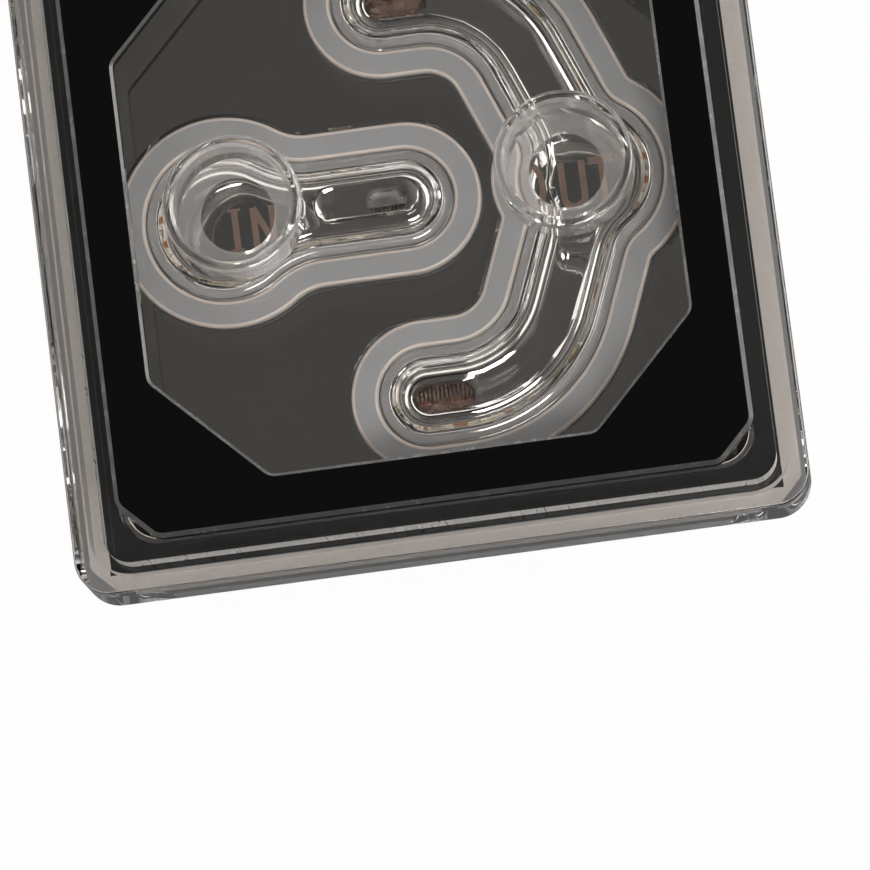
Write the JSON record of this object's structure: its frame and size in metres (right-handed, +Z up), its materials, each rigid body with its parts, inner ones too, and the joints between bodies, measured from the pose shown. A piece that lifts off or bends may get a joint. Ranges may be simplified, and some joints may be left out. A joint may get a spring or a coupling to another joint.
{
  "type": "cpu water block",
  "caption": "Square liquid-cooling block: clear top with inlet and outlet ports, black window plate, metal plate and finned copper base.",
  "frame": {"origin": "middle of the contact face that rests on the processor", "axes": "+Z up out of the ports, +X from the IN port to the OUT port, +Y towards the cable socket side"},
  "size_m": [0.084, 0.084, 0.0256],
  "materials": {
    "clear_acrylic": "clear polished acrylic",
    "black_gloss": "gloss black plate with fine scratches",
    "silicone": "translucent silicone",
    "dark_nickel": "dark nickel, near mirror",
    "copper": "bare machined copper",
    "steel": "stainless",
    "brass": "turned brass",
    "seal_rubber": "black rubber",
    "strip_board": "flexible circuit film",
    "led_package": "white package with a yellow window",
    "socket_plastic": "black moulded plastic"
  },
  "bodies": {
    "root": {"clear_top": "clear_acrylic", "cover_plate": "black_gloss", "inlet_gasket": "silicone", "outlet_gasket": "silicone", "distribution_plate": "dark_nickel", "jet_plate": "steel", "chamber_seal": "seal_rubber", "cold_plate": "copper", "light_strip": "strip_board", "light_socket": "socket_plastic", "clamp_screw_1": "steel", "threaded_insert_1": "brass", "clamp_screw_2": "steel", "threaded_insert_2": "brass", "clamp_screw_3": "steel", "threaded_insert_3": "brass", "clamp_screw_4": "steel", "threaded_insert_4": "brass", "base_screw_1": "steel", "base_screw_2": "steel", "base_screw_3": "steel", "base_screw_4": "steel", "base_screw_5": "steel", "base_screw_6": "steel", "base_screw_7": "steel", "base_screw_8": "steel", "led_1": "led_package", "led_2": "led_package", "led_3": "led_package", "led_4": "led_package", "led_5": "led_package", "led_6": "led_package", "led_7": "led_package", "led_8": "led_package", "led_9": "led_package", "led_10": "led_package", "led_11": "led_package", "led_12": "led_package", "led_13": "led_package", "led_14": "led_package", "led_15": "led_package", "led_16": "led_package"}
  },
  "joints": []
}
